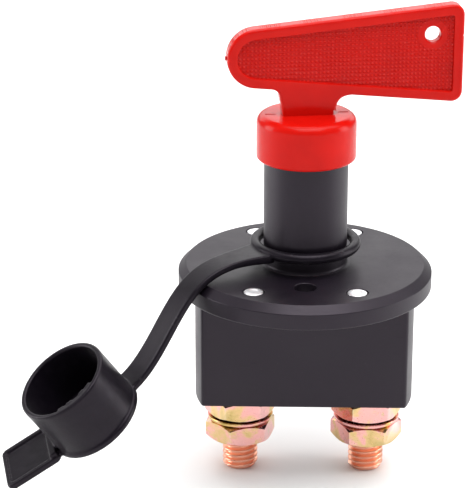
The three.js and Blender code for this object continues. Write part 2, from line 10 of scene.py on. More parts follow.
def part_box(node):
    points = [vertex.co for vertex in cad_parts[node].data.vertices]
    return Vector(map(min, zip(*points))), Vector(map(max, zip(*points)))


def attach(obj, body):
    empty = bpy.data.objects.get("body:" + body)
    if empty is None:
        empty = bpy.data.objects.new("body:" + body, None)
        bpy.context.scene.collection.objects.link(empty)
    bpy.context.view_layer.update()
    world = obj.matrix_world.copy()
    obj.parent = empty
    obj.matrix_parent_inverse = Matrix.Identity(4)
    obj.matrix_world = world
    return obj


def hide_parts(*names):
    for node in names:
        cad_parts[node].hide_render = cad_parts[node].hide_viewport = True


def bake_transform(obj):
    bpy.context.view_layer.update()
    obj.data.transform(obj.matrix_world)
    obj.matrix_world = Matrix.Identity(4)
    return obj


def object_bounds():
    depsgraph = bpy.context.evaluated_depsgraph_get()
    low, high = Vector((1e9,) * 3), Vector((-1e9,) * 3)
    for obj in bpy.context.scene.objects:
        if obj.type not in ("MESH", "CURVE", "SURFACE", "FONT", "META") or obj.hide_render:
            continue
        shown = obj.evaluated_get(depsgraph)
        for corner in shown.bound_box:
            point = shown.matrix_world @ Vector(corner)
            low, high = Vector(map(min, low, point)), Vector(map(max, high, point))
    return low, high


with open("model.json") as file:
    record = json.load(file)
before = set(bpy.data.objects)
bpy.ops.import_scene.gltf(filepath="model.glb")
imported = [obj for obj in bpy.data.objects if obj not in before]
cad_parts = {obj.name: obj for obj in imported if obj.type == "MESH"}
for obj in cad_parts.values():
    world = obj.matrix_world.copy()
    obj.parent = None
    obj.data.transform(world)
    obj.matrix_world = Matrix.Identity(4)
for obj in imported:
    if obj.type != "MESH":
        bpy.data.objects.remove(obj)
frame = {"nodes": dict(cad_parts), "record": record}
cad_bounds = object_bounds()
MM = 0.001


# ---- places taken from the frame, in millimetres ------------------------------------------------

def box_mm(node):
    low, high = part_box(node)
    return Vector(low) / MM, Vector(high) / MM


def joint_mm(name):
    joint = next(j for j in frame["record"]["behaviour"]["joints"] if j["name"] == name)
    return Vector(joint["pos_m"]) / MM


FLANGE_R = box_mm("upper_housing")[1].x
TUBE_TOP = box_mm("upper_housing")[1].z
BLOCK_BOTTOM = box_mm("base_block")[0].z
BIT_BOTTOM = box_mm("key")[0].z
STRAP_HEADING = math.atan2(joint_mm("strap_lift").y, joint_mm("strap_lift").x)
SIDES = ("left", "right")


# ---- sizes the boxes don't give, in millimetres -------------------------------------------------

FLANGE_TOP = 6.2
TUBE_R = 11.15
SCREW_HOLE_R = 3.0
SCREW_HOLE_Y = 19.45
RIVET_HEAD_HOLE_R = 2.85
RIVET_SHANK_HOLE_R = 1.9
CAP_INNER_R = 11.0
CAP_OUTER_R = 12.45
CAP_LIP_R = 13.05
CAP_DEPTH = 16.4
CAP_GAP = 0.3
RING_R = 13.4
RING_HEIGHT = 11.7
STRAP_SLOPE = math.radians(90 - 53.5)
KEY_TURN = math.radians(8)
NUT_TURNS = {"upper_nut_left": 6.7, "lower_nut_left": 14.7, "upper_nut_right": 6, "lower_nut_right": 0}
BLADE = {"thick": 5.0, "web": 3.0, "rim": 2.7, "end_r": 7.9, "end_x": -13.25, "far": 40.8, "corner": 2.8,
         "flare": math.radians(5.65), "height": 63.1, "hole_r": 2.1, "hole_x": 32.7, "hole_z": 68.2}
# Ragged rubber left by the mould inside the cap's mouth: heading, length, depth below the lip.
MOULD_FLASH = ((60, 2.6, 1.3), (73, 1.8, 1.9), (83, 2.4, 1.2), (95, 1.5, 2.0), (107, 2.2, 1.4))
TINY = 1e-6


# ---- mesh helpers -------------------------------------------------------------------------------

def new_object(name, bm):
    bmesh.ops.recalc_face_normals(bm, faces=bm.faces)
    mesh = bpy.data.meshes.new(name)
    bm.to_mesh(mesh)
    bm.free()
    obj = bpy.data.objects.new(name, mesh)
    bpy.context.scene.collection.objects.link(obj)
    return obj


def apply_modifiers(obj):
    bpy.context.view_layer.update()
    shape = obj.evaluated_get(bpy.context.evaluated_depsgraph_get())
    mesh = bpy.data.meshes.new_from_object(shape)
    obj.modifiers.clear()
    obj.data = mesh


def merge(objects):
    """Several closed bodies that don't touch, as one object."""
    bm = bmesh.new()
    for obj in objects:
        bm.from_mesh(obj.data)
        bpy.data.objects.remove(obj, do_unlink=True)
    return new_object("merged", bm)


def combine(obj, tool, operation):
    """Joins, cuts or intersects with the tool, then removes the tool."""
    modifier = obj.modifiers.new("combine", "BOOLEAN")
    modifier.operation = operation
    modifier.solver = "MANIFOLD"
    modifier.object = tool
    apply_modifiers(obj)
    bpy.data.objects.remove(tool, do_unlink=True)


def smooth(obj, angle=32):
    """Smooth shading that keeps edges sharper than the angle and weights normals by face area."""
    for face in obj.data.polygons:
        face.use_smooth = True
    bm = bmesh.new()
    bm.from_mesh(obj.data)
    for edge in bm.edges:
        edge.smooth = not (len(edge.link_faces) == 2 and edge.calc_face_angle(0) > math.radians(angle))
    bm.to_mesh(obj.data)
    bm.free()
    weights = obj.modifiers.new("weights", "WEIGHTED_NORMAL")
    weights.keep_sharp = True
    return obj


def rounded(points, steps=4):
    """Replaces each [r, z, radius] corner of a closed profile by an arc; a radius of 0 keeps it sharp."""
    side_share, straight = 0.48, math.radians(88)
    out = []
    for i, point in enumerate(points):
        here = Vector(point[:2])
        radius = point[2] if len(point) > 2 else 0
        before = Vector(points[i - 1][:2]) - here
        after = Vector(points[(i + 1) % len(points)][:2]) - here
        if radius <= 0 or min(before.length, after.length) < TINY:
            out.append(tuple(here))
            continue
        a, b = before.normalized(), after.normalized()
        half = a.angle(b) / 2
        if half > straight:
            out.append(tuple(here))
            continue
        reach = min(radius / math.tan(half), before.length * side_share, after.length * side_share)
        radius = reach * math.tan(half)
        centre = here + (a + b).normalized() * (radius / math.sin(half))
        start, end = here + a * reach - centre, here + b * reach - centre
        turn = start.angle_signed(end)
        for k in range(steps + 1):
            spoke = start.copy()
            spoke.rotate(Matrix.Rotation(-turn * k / steps, 2))
            out.append(tuple(centre + spoke))
    return out


def lathe(name, profile, segments=160, spot=(0, 0), axis_matrix=None):
    """Turns a closed profile of [r, z, corner radius] about Z; the profile may touch the axis."""
    on_axis = 1e-4
    bm = bmesh.new()
    rings = []
    for r, z in rounded(profile):
        if r < on_axis:
            rings.append([bm.verts.new(Vector((spot[0], spot[1], z)) * MM)])
            continue
        ring = []
        for i in range(segments):
            angle = 2 * math.pi * i / segments
            place = Vector((spot[0] + r * math.cos(angle), spot[1] + r * math.sin(angle), z))
            ring.append(bm.verts.new(place * MM))
        rings.append(ring)
    for k, low in enumerate(rings):
        high = rings[(k + 1) % len(rings)]
        if len(low) == 1 and len(high) == 1:
            continue
        for i in range(segments):
            j = (i + 1) % segments
            quad = [low[i % len(low)], low[j % len(low)], high[j % len(high)], high[i % len(high)]]
            corners = [v for n, v in enumerate(quad) if v not in quad[:n]]
            if len(corners) > 2:
                bm.faces.new(corners)
    if axis_matrix is not None:
        bmesh.ops.transform(bm, matrix=axis_matrix, verts=bm.verts)
    return new_object(name, bm)


def stack(name, loops):
    """A closed body through equal-length loops of points, capped at both ends."""
    bm = bmesh.new()
    rings = [[bm.verts.new(Vector(p) * MM) for p in loop] for loop in loops]
    count = len(rings[0])
    for low, high in zip(rings, rings[1:]):
        for i in range(count):
            j = (i + 1) % count
            bm.faces.new([low[i], low[j], high[j], high[i]])
    bm.faces.new(rings[0][::-1])
    bm.faces.new(rings[-1])
    return new_object(name, bm)


def inset(outline, amount):
    """Moves each point of a counter-clockwise outline inwards along its own normal."""
    out = []
    for i, point in enumerate(outline):
        before, after = Vector(outline[i - 1]), Vector(outline[(i + 1) % len(outline)])
        tangent = (after - before).normalized()
        out.append(Vector(point) + Vector((-tangent.y, tangent.x)) * amount)
    return out


def arc(centre, radius, start, end, steps):
    """Points from one angle in degrees to another."""
    angles = [math.radians(start + (end - start) * k / steps) for k in range(steps + 1)]
    return [(centre[0] + radius * math.cos(a), centre[1] + radius * math.sin(a)) for a in angles]


def bend(start, pull, end, steps):
    """Points of a smooth bend from start to end, pulled towards a third point."""
    start, pull, end = Vector(start), Vector(pull), Vector(end)
    shares = [k / steps for k in range(steps + 1)]
    return [tuple(start * (1 - t) ** 2 + pull * 2 * t * (1 - t) + end * t * t) for t in shares]


def soften(outline, long_side, reach):
    """Rounds only the corners at the ends of the outline's long straight sides."""
    out = []
    for i, point in enumerate(outline):
        here = Vector(point)
        before = Vector(outline[i - 1]) - here
        after = Vector(outline[(i + 1) % len(outline)]) - here
        if max(before.length, after.length) > long_side:
            out += bend(here + before.normalized() * reach, here, here + after.normalized() * reach, 5)
        else:
            out.append(point)
    return out


def slab(name, outline, low, high, low_edge, high_edge, steps=4):
    """An outline raised from low to high with rounded edges; an edge of 0 stays sharp."""
    turns = [math.pi / 2 * k / steps for k in range(steps + 1)]
    loops = []
    if low_edge:
        for a in turns:
            ring = inset(outline, low_edge * (1 - math.sin(a)))
            loops.append([(p[0], p[1], low + low_edge * (1 - math.cos(a))) for p in ring])
    else:
        loops.append([(p[0], p[1], low) for p in outline])
    if high_edge:
        for a in turns:
            ring = inset(outline, high_edge * (1 - math.cos(a)))
            loops.append([(p[0], p[1], high - high_edge * (1 - math.sin(a))) for p in ring])
    else:
        loops.append([(p[0], p[1], high) for p in outline])
    return stack(name, loops)


def rounded_box_outline(half_x, half_y, corner, steps=8):
    x, y = half_x - corner, half_y - corner
    out = []
    for cx, cy, start in ((x, y, 0), (-x, y, 90), (-x, -y, 180), (x, -y, 270)):
        out += arc((cx, cy), corner, start, start + 90, steps)
    return out


def plain_box(name, low, high):
    outline = [(low[0], low[1]), (high[0], low[1]), (high[0], high[1]), (low[0], high[1])]
    return slab(name, outline, low[2], high[2], 0, 0)


def middle(node):
    """The box of a node with the point in X and Y under its middle."""
    low, high = box_mm(node)
    return low, high, ((low.x + high.x) / 2, (low.y + high.y) / 2)


def dress(obj, material, body, slot, *nodes):
    """Gives a piece its material and body; with no body it is left for a blend. The slot argument is not
    used.
    """
    obj.data.materials.clear()
    obj.data.materials.append(material)
    if body:
        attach(obj, body)
    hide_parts(*nodes)


# ---- camera, light and floor --------------------------------------------------------------------

def add_camera():
    camera = bpy.data.objects.new("camera", bpy.data.cameras.new("camera"))
    bpy.context.scene.collection.objects.link(camera)
    camera.location = (-0.00496, -0.5408, 0.2119)
    look = Vector((-0.0242, 0.9371, -0.3484))
    camera.rotation_euler = look.to_track_quat("-Z", "Y").to_euler()
    camera.data.lens = 158.9
    camera.data.sensor_width = 36
    camera.data.clip_start = 0.01
    bpy.context.scene.camera = camera


def add_area(name, place, size, power):
    """A rectangular light in metres that faces the part's origin."""
    light = bpy.data.lights.new(name, "AREA")
    light.shape = "RECTANGLE"
    light.size, light.size_y = size
    light.energy = power
    lamp = bpy.data.objects.new(name, light)
    lamp.location = place
    lamp.rotation_euler = (-Vector(place)).to_track_quat("-Z", "Y").to_euler()
    bpy.context.scene.collection.objects.link(lamp)


def add_sun(name, power, angle, tilt):
    sun = bpy.data.lights.new(name, "SUN")
    sun.energy = power
    sun.angle = math.radians(angle)
    lamp = bpy.data.objects.new(name, sun)
    lamp.rotation_euler = (math.radians(tilt[0]), math.radians(tilt[1]), 0)
    bpy.context.scene.collection.objects.link(lamp)


def add_floor(size, grey):
    bm = bmesh.new()
    bmesh.ops.create_grid(bm, x_segments=8, y_segments=8, size=size)
    bmesh.ops.translate(bm, verts=bm.verts, vec=(0, 0, cad_bounds[0][2]))
    floor = new_object("floor", bm)
    make = Shader("floor")
    make.base(roughness=0.85)
    make.set("Base Color", (grey, grey, grey, 1))
    floor.data.materials.append(make.material)


def add_studio():
    world = bpy.data.worlds.new("studio")
    world.use_nodes = True
    background = world.node_tree.nodes["Background"]
    background.inputs["Color"].default_value = (1, 1, 1, 1)
    background.inputs["Strength"].default_value = 0.3
    bpy.context.scene.world = world
    add_area("overhead", (0.05, -0.22, 0.60), (0.5, 0.4), 2.8)
    add_area("left_panel", (-0.6, 0.05, 0.1), (0.25, 0.5), 2.2)
    add_area("right_panel", (0.6, 0.05, 0.12), (0.25, 0.5), 1.8)
    add_area("back_panel", (-0.06, 0.8, 0.36), (1.4, 0.4), 3.0)
    add_sun("ceiling", 2.6, angle=70, tilt=(-12, 8))
    bpy.context.scene.view_settings.view_transform = "Standard"
    add_floor(size=3.0, grey=0.9)


# ---- material helper ----------------------------------------------------------------------------

class Shader:
    """Builds one procedural material; sizes are in metres in the object's own frame."""

    def __init__(self, name):
        self.material = bpy.data.materials.new(name)
        self.material.use_nodes = True
        self.tree = self.material.node_tree
        self.bsdf = self.tree.nodes["Principled BSDF"]
        self.coords = self.tree.nodes.new("ShaderNodeTexCoord").outputs["Object"]
        self.normal = None

    def plug(self, socket, value):
        if isinstance(value, bpy.types.NodeSocket):
            self.tree.links.new(value, socket)
        else:
            socket.default_value = value

    def set(self, name, value):
        self.plug(self.bsdf.inputs[name], value)

    def base(self, roughness, metallic=0.0, specular=0.5):
        self.set("Specular IOR Level", specular)
        self.set("Roughness", roughness)
        self.set("Metallic", metallic)
        self.set("IOR", 1.5)

    def math(self, operation, a, b=0.0, clamp=False):
        node = self.tree.nodes.new("ShaderNodeMath")
        node.operation = operation
        node.use_clamp = clamp
        self.plug(node.inputs[0], a)
        self.plug(node.inputs[1], b)
        return node.outputs[0]

    def times(self, a, b):
        return self.math("MULTIPLY", a, b)

    def length(self, a, b):
        return self.math("SQRT", self.math("ADD", self.times(a, a), self.times(b, b)))

    def stretched(self, scale):
        node = self.tree.nodes.new("ShaderNodeMapping")
        self.plug(node.inputs["Vector"], self.coords)
        node.inputs["Scale"].default_value = scale
        return node.outputs[0]

    def noise(self, scale, detail=4.0, roughness=0.55, vector=None, distortion=0.0):
        node = self.tree.nodes.new("ShaderNodeTexNoise")
        self.plug(node.inputs["Vector"], vector or self.coords)
        node.inputs["Scale"].default_value = scale
        node.inputs["Detail"].default_value = detail
        node.inputs["Roughness"].default_value = roughness
        node.inputs["Distortion"].default_value = distortion
        return node.outputs[0]

    def ramp(self, factor, stops):
        node = self.tree.nodes.new("ShaderNodeValToRGB")
        self.plug(node.inputs[0], factor)
        band = node.color_ramp
        while len(band.elements) < len(stops):
            band.elements.new(0.5)
        for element, (place, colour) in zip(band.elements, stops):
            element.position = place
            element.color = (*colour, 1)
        return node.outputs[0]

    def level(self, factor, low, high, start=0.0, end=1.0):
        """Start below low, end above high, and straight between them."""
        node = self.tree.nodes.new("ShaderNodeMapRange")
        for socket, value in zip(node.inputs, (factor, low, high, start, end)):
            self.plug(socket, value)
        return node.outputs[0]

    def blend(self, factor, a, b):
        """A colour that goes from a to the constant colour b."""
        node = self.tree.nodes.new("ShaderNodeMix")
        node.data_type = "RGBA"
        factor_in, a_in, b_in, colour_out = 0, 6, 7, 2
        self.plug(node.inputs[factor_in], factor)
        self.plug(node.inputs[a_in], a)
        self.plug(node.inputs[b_in], (*b, 1))
        return node.outputs[colour_out]

    def bump(self, height, distance, strength=1.0):
        node = self.tree.nodes.new("ShaderNodeBump")
        node.inputs["Strength"].default_value = strength
        node.inputs["Distance"].default_value = distance
        self.plug(node.inputs["Height"], height)
        if self.normal:
            self.tree.links.new(self.normal, node.inputs["Normal"])
        self.normal = node.outputs[0]
        self.tree.links.new(self.normal, self.bsdf.inputs["Normal"])

    def edges(self, low=0.51, high=0.60):
        """1 on outer edges, 0 on faces and hollows; the materials lighten these edges as wear and as a
        painted highlight.
        """
        node = self.tree.nodes.new("ShaderNodeNewGeometry")
        return self.level(node.outputs["Pointiness"], low, high)

    def xyz(self):
        node = self.tree.nodes.new("ShaderNodeSeparateXYZ")
        self.plug(node.inputs[0], self.coords)
        return node.outputs


# A trace of violet in the reflections of black plastic and rubber.
BLACK_TINT = (0.98, 0.87, 1.0, 1)


def housing_material():
    """Satin black plastic with slow waves, dust and fine scratches."""
    make = Shader("housing_plastic")
    make.base(0.4, specular=0.38)
    make.set("Specular Tint", BLACK_TINT)
    broad = make.noise(70, 5)
    fine = make.noise(900, 3)
    dust = make.level(make.noise(2600, 2), 0.70, 0.78)
    scratches = make.level(make.noise(1.0, 2, vector=make.stretched((260, 3800, 900))), 0.66, 0.74)
    colour = make.ramp(broad, [(0.3, (0.0034, 0.0018, 0.0044)), (0.7, (0.0066, 0.0042, 0.0082))])
    make.set("Base Color", make.blend(make.times(dust, 0.2), colour, (0.08, 0.077, 0.08)))
    rough = make.level(broad, 0.3, 0.7, 0.36, 0.46)
    rough = make.math("ADD", rough, make.times(scratches, 0.10))
    make.set("Roughness", make.math("ADD", rough, make.times(fine, 0.05), clamp=True))
    make.bump(broad, 0.00022, 0.35)
    make.bump(make.noise(5200, 2), 0.000012, 0.7)
    make.bump(scratches, 0.00001, 0.5)
    return make.material


def rubber_material():
    """Soft black rubber with a pale bloom, and outer edges lightened partly as wear and partly as a painted
    highlight.
    """
    make = Shader("tether_rubber")
    make.base(0.5, specular=0.2)
    make.set("Specular Tint", BLACK_TINT)
    make.set("Sheen Weight", 0.02)
    broad = make.noise(110, 5)
    bloom = make.level(make.noise(420, 6, 0.7), 0.45, 0.75)
    colour = make.ramp(broad, [(0.3, (0.0020, 0.0010, 0.0028)), (0.7, (0.0040, 0.0024, 0.0054))])
    colour = make.blend(make.times(bloom, 0.25), colour, (0.014, 0.011, 0.016))
    # Lighter grey on the outer edges: partly wear, partly a painted highlight.
    colour = make.blend(make.times(make.edges(0.52, 0.62), 0.35), colour, (0.045, 0.042, 0.045))
    make.set("Base Color", colour)
    make.set("Roughness", make.level(bloom, 0, 1, 0.34, 0.46))
    make.bump(make.noise(300, 5), 0.00010, 0.4)
    make.bump(make.noise(2400, 3), 0.00002, 0.6)
    return make.material


def blade_dots(make):
    """Two masks on the blade's recessed faces: a grid of round dots, and the ground between them."""
    x, y, z = make.xyz()
    pitch, shift = 0.00105, 200.5
    web_face = BLADE["web"] / 2 * MM
    lowest, skin = 0.05, 0.00025

    def cell(value):
        turned = make.math("FRACT", make.math("ADD", make.math("DIVIDE", value, pitch), shift))
        return make.math("SUBTRACT", turned, 0.5)

    dots = make.level(make.length(cell(x), cell(z)), 0.18, 0.36, 1.0, 0.0)
    on_web = make.math("LESS_THAN", make.math("ABSOLUTE", y), web_face + skin)
    on_blade = make.math("GREATER_THAN", z, lowest)
    from_hole = make.length(make.math("SUBTRACT", x, BLADE["hole_x"] * MM),
                            make.math("SUBTRACT", z, BLADE["hole_z"] * MM))
    off_hole = make.level(from_hole, 0.0036, 0.0041)
    mask = make.times(make.times(on_web, on_blade), off_hole)
    return make.times(dots, mask), make.times(make.math("SUBTRACT", 1.0, dots), mask)


def key_material():
    """Gloss red plastic; the recessed faces of the blade carry a grid of tiny raised dots. Painted shade
    darkens the ground between the dots, and painted highlights lighten the dots and the outer edges.
    """
    make = Shader("key_plastic")
    make.base(0.2, specular=0.13)
    make.set("Subsurface Weight", 0.08)
    make.set("Subsurface Radius", (0.6, 0.12, 0.08))
    make.set("Subsurface Scale", 0.0015)
    broad = make.noise(80, 4)
    colour = make.ramp(broad, [(0.3, (0.49, 0.0042, 0.0022)), (0.7, (0.59, 0.0064, 0.0032))])
    # Brighter red on the outer edges: a painted highlight.
    colour = make.blend(make.times(make.edges(0.52, 0.62), 0.3), colour, (0.80, 0.03, 0.015))
    dots, ground = blade_dots(make)
    # Painted shade darkens the recessed ground between the dots, and a painted highlight lightens the raised
    # dots.
    colour = make.blend(make.times(ground, 0.30), colour, (0.36, 0.004, 0.004))
    colour = make.blend(make.times(dots, 0.22), colour, (0.85, 0.04, 0.025))
    make.set("Base Color", colour)
    make.set("Roughness", make.level(make.noise(500, 4), 0.3, 0.7, 0.14, 0.23))
    make.bump(dots, 0.00022, 1.0)
    make.bump(broad, 0.0002, 0.3)
    make.bump(make.noise(3600, 2), 0.000008, 0.6)
    return make.material


def metal_material(name, stops, roughness, streak, tint_scale=160, pits=0.0):
    """Plated metal: drifting tints, darker stains, brighter edges (partly wear, partly a painted highlight)
    and streaks from the tool.
    """
    make = Shader(name)
    make.base(roughness[0], metallic=1.0)
    broad = make.noise(tint_scale, 5, 0.6, distortion=0.4)
    fine = make.noise(1.0, 3, vector=make.stretched(streak))
    stain = make.level(make.noise(700, 5, 0.65), 0.60, 0.80)
    dark = tuple(c * 0.45 for c in stops[0][1])
    colour = make.blend(make.times(stain, 0.4), make.ramp(broad, stops), dark)
    # Near-white outer edges: partly wear, partly a painted highlight.
    colour = make.blend(make.times(make.edges(0.52, 0.64), 0.45), colour, (0.95, 0.90, 0.84))
    make.set("Base Color", colour)
    make.set("Roughness", make.level(fine, 0.3, 0.7, *roughness))
    make.bump(fine, 0.000018, 0.55)
    make.bump(make.noise(900, 4), 0.00003, 0.25)
    if pits:
        make.bump(make.level(make.noise(2000, 2), 0.66, 0.72, 1.0, 0.0), 0.00003, pits)
    return make.material


def nylon_material():
    """Pale unfilled nylon of the inner mechanism."""
    make = Shader("inner_nylon")
    make.base(0.5)
    make.set("Subsurface Weight", 0.1)
    make.set("Subsurface Scale", 0.002)
    broad = make.noise(90, 4)
    make.set("Base Color", make.ramp(broad, [(0.3, (0.62, 0.58, 0.47)), (0.7, (0.72, 0.69, 0.58))]))
    make.set("Roughness", make.level(make.noise(600, 3), 0.3, 0.7, 0.42, 0.6))
    make.bump(make.noise(2500, 3), 0.00002, 0.5)
    return make.material


# ---- pieces -------------------------------------------------------------------------------------

def rivet_places():
    names = [f"rivet_{row}_{side}" for row in ("front", "rear") for side in SIDES]
    return [(name, middle(name)[2]) for name in names]


def screw_places():
    return [(0, sign * SCREW_HOLE_Y) for sign in (-1, 1)]


def mouth(radius, top, lip):
    """The end of a cutter that flares past the surface, so the cut hole has a rounded mouth."""
    turns = [math.radians(110) * k / 5 for k in range(5)]
    flare = [(radius + lip * (1 - math.cos(a)), top - lip + lip * math.sin(min(a, math.pi / 2)))
             for a in turns]
    outer = radius + lip * 1.3
    return [*flare, (outer, top + 0.05), (outer, top + 2), (0, top + 2)]


def hole_cutter(radius, low, top, lip, spot):
    return lathe("cutter", [(0, low), (radius, low), *mouth(radius, top, lip)], 56, spot)


def rivet_cutter(low, floor, top, spot):
    profile = [
        (0, low), (RIVET_SHANK_HOLE_R, low), (RIVET_SHANK_HOLE_R, floor), (RIVET_HEAD_HOLE_R, floor),
        *mouth(RIVET_HEAD_HOLE_R, top, 0.18),
    ]
    return lathe("cutter", profile, 56, spot)


def make_housing(material):
    recess_r, roof = FLANGE_R - 1.4, 2.7
    chamfer_foot, chamfer_r = FLANGE_TOP - 2.0, FLANGE_R - 2.1
    bore_r, neck_r, step = 8.0, 6.7, 12
    hole_start, head_depth = 0.5, 0.6
    profile = [
        (neck_r, roof), (recess_r, roof, 0.3), (recess_r, 0, 0.15), (FLANGE_R, 0, 0.45),
        (FLANGE_R, chamfer_foot, 0.35), (chamfer_r, FLANGE_TOP, 0.35), (TUBE_R, FLANGE_TOP, 0.9),
        (TUBE_R, TUBE_TOP, 0.45), (bore_r, TUBE_TOP, 0.4), (bore_r, step, 0.2), (neck_r, step, 0.2),
    ]
    shell = lathe("housing_shell", profile, 192)
    cutters = [rivet_cutter(hole_start, FLANGE_TOP - head_depth, FLANGE_TOP, spot)
               for _, spot in rivet_places()]
    cutters += [hole_cutter(SCREW_HOLE_R, hole_start, FLANGE_TOP, 0.25, spot) for spot in screw_places()]
    combine(shell, merge(cutters), "DIFFERENCE")
    smooth(shell)
    level_face = 0.9999
    for face in shell.data.polygons:
        face.use_smooth = abs(face.normal.z) < level_face
    dress(shell, material, "housing", "housing_black", "upper_housing")


def stud_cutter(spot):
    bore_r, rim_r, depth, chamber = 5.1, 5.5, 3, -24
    below = BLOCK_BOTTOM - depth
    profile = [
        (0, below), (rim_r, below), (rim_r, BLOCK_BOTTOM, 0.3), (bore_r, BLOCK_BOTTOM + 0.4, 0.1),
        (bore_r, chamber), (0, chamber),
    ]
    return lathe("cutter", profile, 64, spot)


def tail_cutter(spot):
    """The stepped hole for a rivet's formed tail."""
    low, step, high = -2, 1.3, 4
    profile = [
        (0, low), (RIVET_HEAD_HOLE_R, low), (RIVET_HEAD_HOLE_R, step), (RIVET_SHANK_HOLE_R, step),
        (RIVET_SHANK_HOLE_R, high), (0, high),
    ]
    return lathe("cutter", profile, 48, spot)


def make_block(material):
    radius, half_depth, top = 29.6, 11.0, 1.2
    plate_r, plate_top = 32.3, 2.4
    chamber_x, chamber_y, chamber_floor = 25.6, 8.75, -25.6
    corner = math.degrees(math.asin(half_depth / radius))
    outline = []
    for heading in (0, 180):
        outline += arc((0, 0), radius, heading - corner, heading + corner, 32)
    outline = soften(outline, long_side=5, reach=0.7)
    body = slab("terminal_block", outline, BLOCK_BOTTOM, top, 0.7, 0)
    plate = [(0, 0), (plate_r, 0, 0.2), (plate_r, plate_top, 0.2), (0, plate_top)]
    combine(body, lathe("plate", plate, 192), "UNION")
    chamber = rounded_box_outline(chamber_x, chamber_y, 3)
    combine(body, slab("cutter", chamber, chamber_floor, 5, 0.4, 0), "DIFFERENCE")
    stud_x = abs(middle("terminal_stud_left")[2][0])
    cutters = []
    for sign, screw_spot in zip((-1, 1), screw_places()):
        cutters.append(stud_cutter((sign * stud_x, 0)))
        cutters.append(hole_cutter(SCREW_HOLE_R, -3, plate_top, 0.1, screw_spot))
    cutters += [tail_cutter(spot) for _, spot in rivet_places()]
    combine(body, merge(cutters), "DIFFERENCE")
    dress(smooth(body), material, "housing", "housing_black", "base_block")


def make_rivets(material):
    """A countersunk disc at each end of a shank; the upper one has a shallow dimple."""
    head_r, shank_r = 2.55, 1.6
    tail_low, tail_high, head_low, rim_high = 0.2, 1.0, 5.9, FLANGE_TOP - 0.05
    for name, spot in rivet_places():
        profile = [
            (0, tail_low), (head_r, tail_low, 0.15), (head_r, tail_high, 0.1), (shank_r, tail_high),
            (shank_r, head_low), (head_r, head_low, 0.08), (head_r, rim_high, 0.12),
            (2.2, rim_high + 0.14, 0.15), (1.35, rim_high + 0.2, 0.1), (1.15, rim_high + 0.1, 0.06),
            (0, rim_high + 0.06),
        ]
        piece = lathe(f"{name}_fine", profile, 64, spot)
        dress(smooth(piece, 45), material, "housing", "rivet_aluminium", name)


def head_radii(half_x, half_y, corner, steps):
    """Distance from the axis to a rounded rectangle, once for each step round it."""
    out = []
    cx, cy = half_x - corner, half_y - corner
    for i in range(steps):
        angle = 2 * math.pi * i / steps
        c, s = abs(math.cos(angle)), abs(math.sin(angle))
        reach = min(half_x / max(c, TINY), half_y / max(s, TINY))
        if reach * c > cx and reach * s > cy:
            along = cx * c + cy * s
            reach = along + math.sqrt(max(along * along - cx * cx - cy * cy + corner * corner, 0))
        out.append(reach)
    return out


def make_stud(side, material):
    """One closed skin: a threaded shank with a chamfered end that steps out to the square head."""
    low, high, (centre, _) = middle(f"terminal_stud_{side}")
    radius, pitch, depth = 4.8, 1.5, 0.86
    crest, flank_width, flank_curve = 0.12, 0.70, 0.35
    tip_chamfer, runout, head_edge, head_low = 1.1, 1.5, 0.3, -25.3
    steps, rows_per_turn = 72, 12

    def thread_radius(angle, z):
        phase = (z / pitch - angle / (2 * math.pi)) % 1.0
        ridge = min(max((abs(phase - 0.5) * 2 - crest) / flank_width, 0), 1)
        ridge = ridge * ridge * (3 - 2 * ridge) * flank_curve + ridge * (1 - flank_curve)
        chamfered = radius - tip_chamfer + (z - low.z)
        fade = min(max((head_low - runout - z) / runout, 0), 1)
        return min(radius - depth * (1 - ridge) * fade, chamfered)

    rows = int((head_low - low.z) / pitch * rows_per_turn)
    rings = []
    for j in range(rows + 1):
        z = low.z + (head_low - low.z) * j / rows
        rings.append([(thread_radius(2 * math.pi * i / steps, z), z) for i in range(steps)])
    head = head_radii((high.x - low.x) / 2, (high.y - low.y) / 2, 3.0, steps)
    for shrink, z in ((0, head_low), (0, high.z - head_edge), (head_edge, high.z)):
        rings.append([(r - shrink, z) for r in head])
    loops = []
    for ring in rings:
        turns = [2 * math.pi * i / steps for i in range(steps)]
        loops.append([(centre + r * math.cos(a), r * math.sin(a), z) for a, (r, z) in zip(turns, ring)])
    stud = smooth(stack(f"threaded_stud_{side}", loops), 50)
    dress(stud, material, "housing", "stud_copper", f"terminal_stud_{side}")


def hexagon(flats):
    """A hexagon of the given width across its flats, with each corner rounded by five points."""
    corner_r = flats / math.sqrt(3)
    setback, spacing = 0.006, 0.14
    out = []
    for i in range(6):
        turn = math.pi / 3 * i
        tip = Vector((corner_r * math.cos(turn), corner_r * math.sin(turn)))
        side = Vector((-tip.y, tip.x)).normalized()
        for k in (-2, -1, 0, 1, 2):
            out.append(tuple(tip * (1 - setback - setback * abs(k)) + side * k * spacing))
    return out


